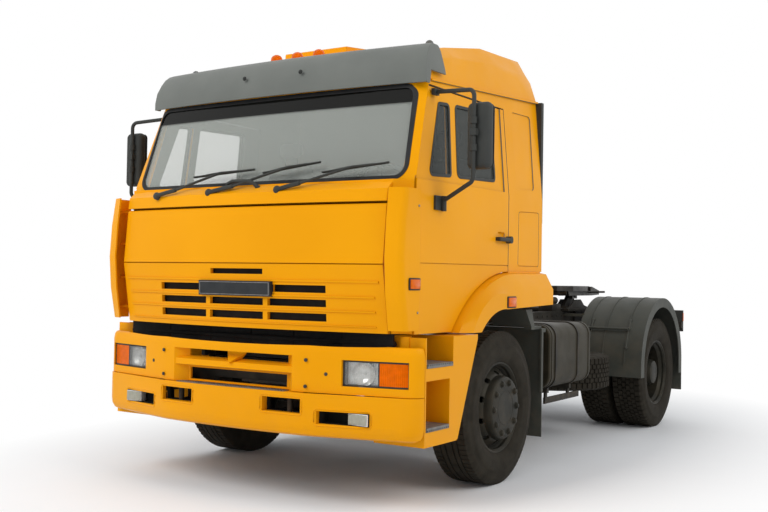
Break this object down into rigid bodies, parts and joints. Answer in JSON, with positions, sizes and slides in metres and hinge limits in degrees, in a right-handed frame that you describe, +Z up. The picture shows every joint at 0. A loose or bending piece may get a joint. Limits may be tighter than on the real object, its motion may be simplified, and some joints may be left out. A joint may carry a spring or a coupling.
{
  "type": "semi truck tractor unit",
  "caption": "Cab-over two-axle tractor unit with a hollow high-roof tilting cab, opening doors and front lid, steered front wheels, twin rear wheels and a tilting fifth wheel.",
  "frame": {"origin": "on the ground at the middle of the vehicle's length and width", "axes": "+X to the vehicle's left, +Y rearward, +Z up; the front faces -Y"},
  "size_m": [3.006, 5.5518, 2.98],
  "materials": {
    "body_paint": "gloss",
    "chassis_paint": "satin",
    "dark_plastic": "grained",
    "tyre": "worn",
    "wheel_paint": "satin",
    "clear_glass": "clear",
    "lamp_lens": "clear",
    "amber_lens": "gloss",
    "step_grey": "anti-slip",
    "bare_steel": "greased",
    "engine_metal": "cast",
    "seat_fabric": "woven"
  },
  "bodies": {
    "chassis": {"frame": "chassis_paint", "front_axle": "chassis_paint", "springs": "chassis_paint", "rear_axle": "chassis_paint", "engine": "engine_metal", "prop_shaft": "chassis_paint", "bumper_upper": "body_paint", "bumper_lower": "body_paint", "step_plates": "step_grey", "headlamps": "lamp_lens", "fog_lamps": "lamp_lens", "step_boxes": "body_paint", "mudguards": "dark_plastic", "fuel_tank": "chassis_paint", "tank_straps": "chassis_paint", "battery_box": "chassis_paint", "air_tanks": "chassis_paint", "exhaust": "chassis_paint", "spare_tyre": "tyre", "spare_rim": "wheel_paint", "fifth_wheel_base": "chassis_paint", "rear_lamps": "amber_lens"},
    "cab": {"cab_shell": "body_paint", "cab_roof": "body_paint", "windshield": "clear_glass", "windshield_rubber": "dark_plastic", "visor": "dark_plastic", "arches": "body_paint", "corner_vanes": "body_paint", "wipers": "dark_plastic", "roof_lamps": "amber_lens", "side_lamps": "amber_lens", "seats": "seat_fabric", "dashboard": "dark_plastic", "snorkel": "dark_plastic"},
    "door_left": {"door_left": "body_paint", "door_glass_left": "clear_glass", "door_trim_left": "dark_plastic", "mirror_left": "dark_plastic"},
    "door_right": {"door_right": "body_paint", "door_glass_right": "clear_glass", "door_trim_right": "dark_plastic", "mirror_right": "dark_plastic"},
    "front_lid": {"front_panel": "body_paint", "grille": "body_paint"},
    "knuckle_left": {"knuckle_left": "chassis_paint"},
    "knuckle_right": {"knuckle_right": "chassis_paint"},
    "tie_rod": {"tie_rod": "chassis_paint"},
    "wheel_front_left": {"rim_fl": "wheel_paint", "tyre_fl": "tyre"},
    "wheel_front_right": {"rim_fr": "wheel_paint", "tyre_fr": "tyre"},
    "wheels_rear_left": {"rims_rl": "wheel_paint", "tyres_rl": "tyre"},
    "wheels_rear_right": {"rims_rr": "wheel_paint", "tyres_rr": "tyre"},
    "fifth_wheel": {"fifth_wheel": "bare_steel"}
  },
  "joints": [
    {"name": "cab_tilt", "type": "hinge", "parent": "chassis", "child": "cab", "pos_m": [0, -2.499, 1.01], "axis": [1, 0, 0], "range_deg": [0, 50]},
    {"name": "door_left_hinge", "type": "hinge", "parent": "cab", "child": "door_left", "pos_m": [1.142, -2.457, 1.5], "axis": [0, 0, -1], "range_deg": [0, 70]},
    {"name": "door_right_hinge", "type": "hinge", "parent": "cab", "child": "door_right", "pos_m": [-1.142, -2.457, 1.5], "axis": [0, 0, 1], "range_deg": [0, 70]},
    {"name": "front_lid_hinge", "type": "hinge", "parent": "cab", "child": "front_lid", "pos_m": [0, -2.641, 1.76], "axis": [-1, 0, 0], "range_deg": [0, 75]},
    {"name": "steer_left", "type": "hinge", "parent": "chassis", "child": "knuckle_left", "pos_m": [0.85, -1.374, 0.507], "axis": [0, 0, 1], "range_deg": [-35, 35]},
    {"name": "steer_right", "type": "hinge", "parent": "chassis", "child": "knuckle_right", "pos_m": [-0.85, -1.374, 0.507], "axis": [0, 0, 1], "range_deg": [-35, 35]},
    {"name": "tie_rod_pivot", "type": "hinge", "parent": "knuckle_left", "child": "tie_rod", "pos_m": [0.85, -1.144, 0.381], "axis": [0, 0, 1], "range_deg": [-35, 35]},
    {"name": "roll_front_left", "type": "hinge", "parent": "knuckle_left", "child": "wheel_front_left", "pos_m": [1.042, -1.374, 0.507], "axis": [1, 0, 0], "continuous": true},
    {"name": "roll_front_right", "type": "hinge", "parent": "knuckle_right", "child": "wheel_front_right", "pos_m": [-1.042, -1.374, 0.507], "axis": [1, 0, 0], "continuous": true},
    {"name": "roll_rear_left", "type": "hinge", "parent": "chassis", "child": "wheels_rear_left", "pos_m": [0.876, 1.976, 0.507], "axis": [1, 0, 0], "continuous": true},
    {"name": "roll_rear_right", "type": "hinge", "parent": "chassis", "child": "wheels_rear_right", "pos_m": [-0.876, 1.976, 0.507], "axis": [1, 0, 0], "continuous": true},
    {"name": "fifth_wheel_tilt", "type": "hinge", "parent": "chassis", "child": "fifth_wheel", "pos_m": [0, 1.876, 1.222], "axis": [1, 0, 0], "range_deg": [-12, 12]}
  ],
  "couplings": [
    {"joint": "steer_right", "follows": "steer_left", "ratio": 1},
    {"joint": "tie_rod_pivot", "follows": "steer_left", "ratio": -1}
  ]
}
